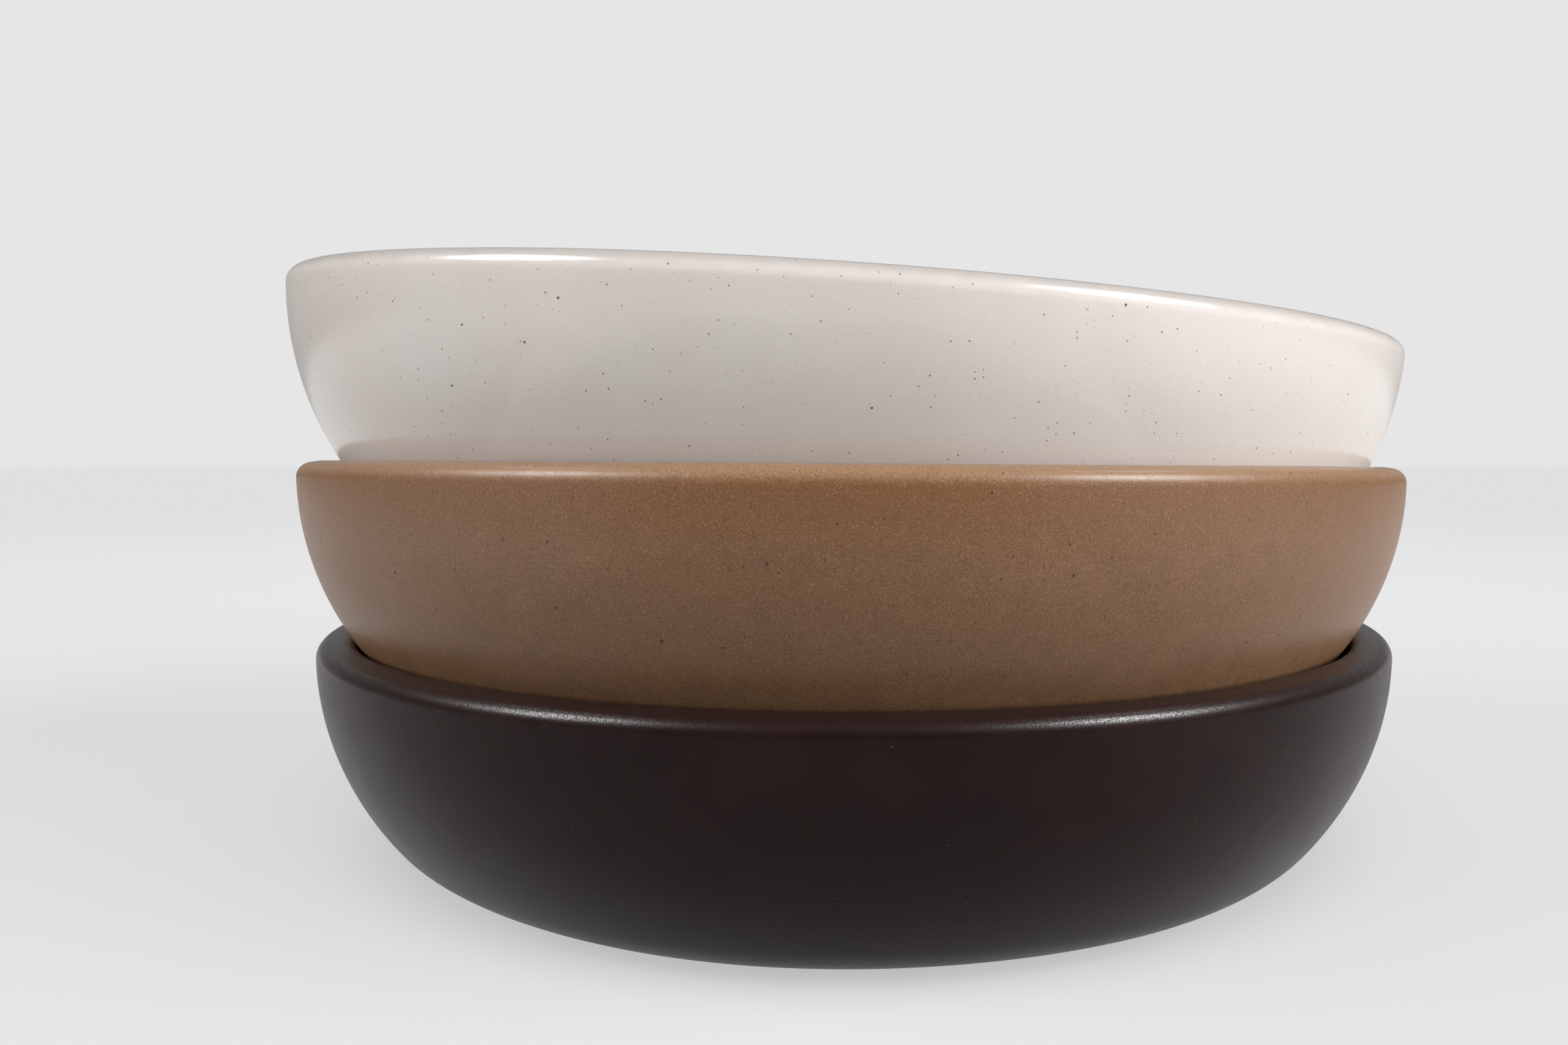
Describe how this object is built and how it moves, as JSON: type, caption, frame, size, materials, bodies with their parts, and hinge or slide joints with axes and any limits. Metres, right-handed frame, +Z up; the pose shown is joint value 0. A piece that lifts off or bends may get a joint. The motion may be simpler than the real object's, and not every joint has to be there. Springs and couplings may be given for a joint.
{
  "type": "stack of bowls",
  "caption": "Nested stack of shallow round glazed stoneware bowls with thick rounded lips and flat feet; each upper bowl lifts out of the one below.",
  "frame": {"origin": "centre of the lowest bowl's foot ring, on the surface that it stands on", "axes": "+Z up through the stack; +X towards the side that the top bowl is tipped down to; +Y away from the viewer"},
  "size_m": [0.2112, 0.2117, 0.1091],
  "materials": {
    "dark_glaze": "satin aubergine-brown glaze over stoneware, redder where it thins at the lip",
    "tan_glaze": "satin caramel-tan glaze with fine mottling and iron specks",
    "white_glaze": "glossy warm white glaze with sparse small iron specks"
  },
  "bodies": {
    "dark": {"dark_bowl": "dark_glaze"},
    "tan": {"tan_bowl": "tan_glaze"},
    "white": {"white_bowl": "white_glaze"}
  },
  "joints": [
    {"name": "tan_lift", "type": "slide", "parent": "dark", "child": "tan", "axis": [0, 0, 1], "range_m": [0, 0.06]},
    {"name": "white_lift", "type": "slide", "parent": "tan", "child": "white", "axis": [0, 0, 1], "range_m": [0, 0.06]}
  ]
}
